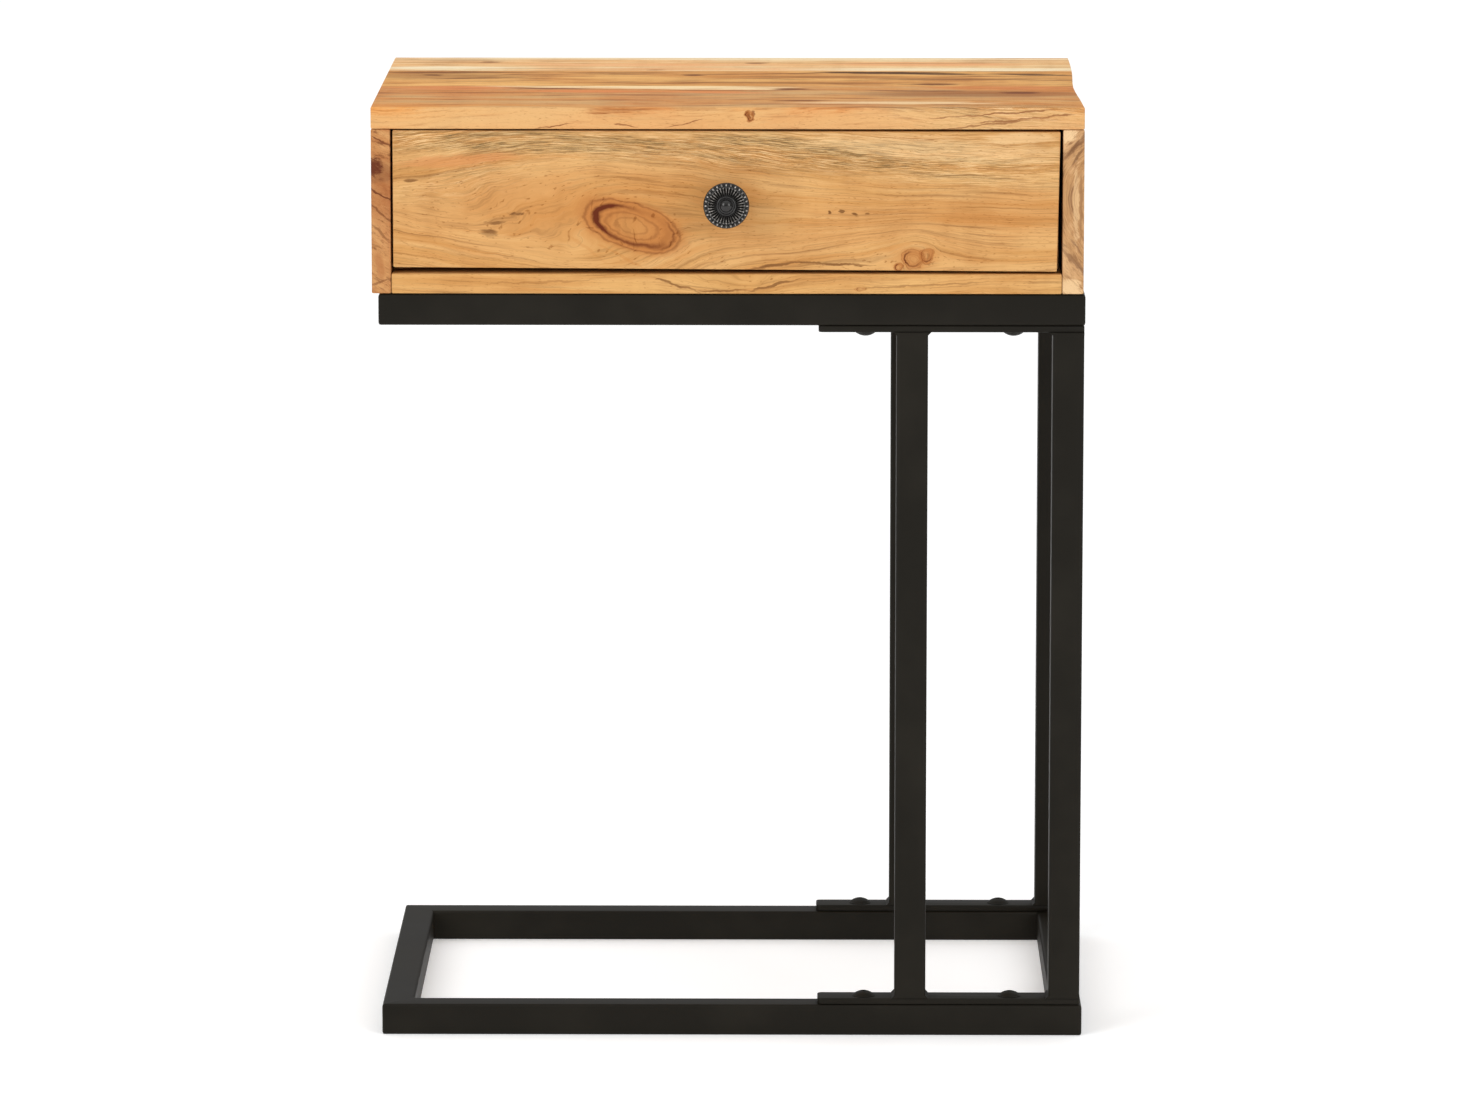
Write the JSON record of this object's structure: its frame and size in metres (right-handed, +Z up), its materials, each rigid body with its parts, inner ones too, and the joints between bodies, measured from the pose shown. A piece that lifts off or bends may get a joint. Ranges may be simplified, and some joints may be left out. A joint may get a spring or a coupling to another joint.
{
  "type": "side table with drawer",
  "caption": "Small C-shaped side table: an acacia wood case with an inset drawer and a round iron knob, on an open black frame of square steel tube.",
  "frame": {"origin": "on the floor, at the centre of the whole footprint, the closed drawer's knob included", "axes": "+Z up; the drawer and its knob face -Y; the posts are at +X and the open side of the C faces -X"},
  "size_m": [0.453, 0.325, 0.6],
  "materials": {
    "acacia": "clear satin lacquer over honey-coloured acacia with dark streaks and knots",
    "drawer_ply": "bare plywood",
    "powder_coat": "semi-gloss black powder coat on welded steel tube",
    "knob_iron": "blackened cast iron",
    "zinc_steel": "bright zinc plate"
  },
  "bodies": {
    "table": {"top_board": "acacia", "bottom_board": "acacia", "left_side_panel": "acacia", "right_side_panel": "acacia", "back_panel": "acacia", "top_front_rail": "powder_coat", "top_back_rail": "powder_coat", "top_left_rail": "powder_coat", "top_right_rail": "powder_coat", "base_front_rail": "powder_coat", "base_back_rail": "powder_coat", "base_left_rail": "powder_coat", "base_right_rail": "powder_coat", "front_middle_post": "powder_coat", "front_end_post": "powder_coat", "back_middle_post": "powder_coat", "back_end_post": "powder_coat", "front_top_plate": "powder_coat", "front_bottom_plate": "powder_coat", "back_top_plate": "powder_coat", "back_bottom_plate": "powder_coat", "bolt_front_bottom_inner": "powder_coat", "bolt_front_bottom_outer": "powder_coat", "bolt_front_top_inner": "powder_coat", "bolt_front_top_outer": "powder_coat", "bolt_back_bottom_inner": "powder_coat", "bolt_back_bottom_outer": "powder_coat", "bolt_back_top_inner": "powder_coat", "bolt_back_top_outer": "powder_coat", "nut_front_bottom_inner": "zinc_steel", "nut_front_bottom_outer": "zinc_steel", "nut_front_top_inner": "zinc_steel", "nut_front_top_outer": "zinc_steel", "nut_back_bottom_inner": "zinc_steel", "nut_back_bottom_outer": "zinc_steel", "nut_back_top_inner": "zinc_steel", "nut_back_top_outer": "zinc_steel", "tab_front_left": "powder_coat", "tab_front_right": "powder_coat", "tab_back_left": "powder_coat", "tab_back_right": "powder_coat", "tab_screw_front_left": "zinc_steel", "tab_screw_front_right": "zinc_steel", "tab_screw_back_left": "zinc_steel", "tab_screw_back_right": "zinc_steel"},
    "drawer": {"drawer_front": "acacia", "drawer_left_side": "acacia", "drawer_right_side": "acacia", "drawer_back": "acacia", "drawer_bottom": "drawer_ply", "drawer_knob": "knob_iron", "knob_washer": "zinc_steel", "knob_screw": "zinc_steel"}
  },
  "joints": [
    {"name": "drawer_slide", "type": "slide", "parent": "table", "child": "drawer", "axis": [0, -1, 0], "range_m": [0, 0.2]}
  ]
}
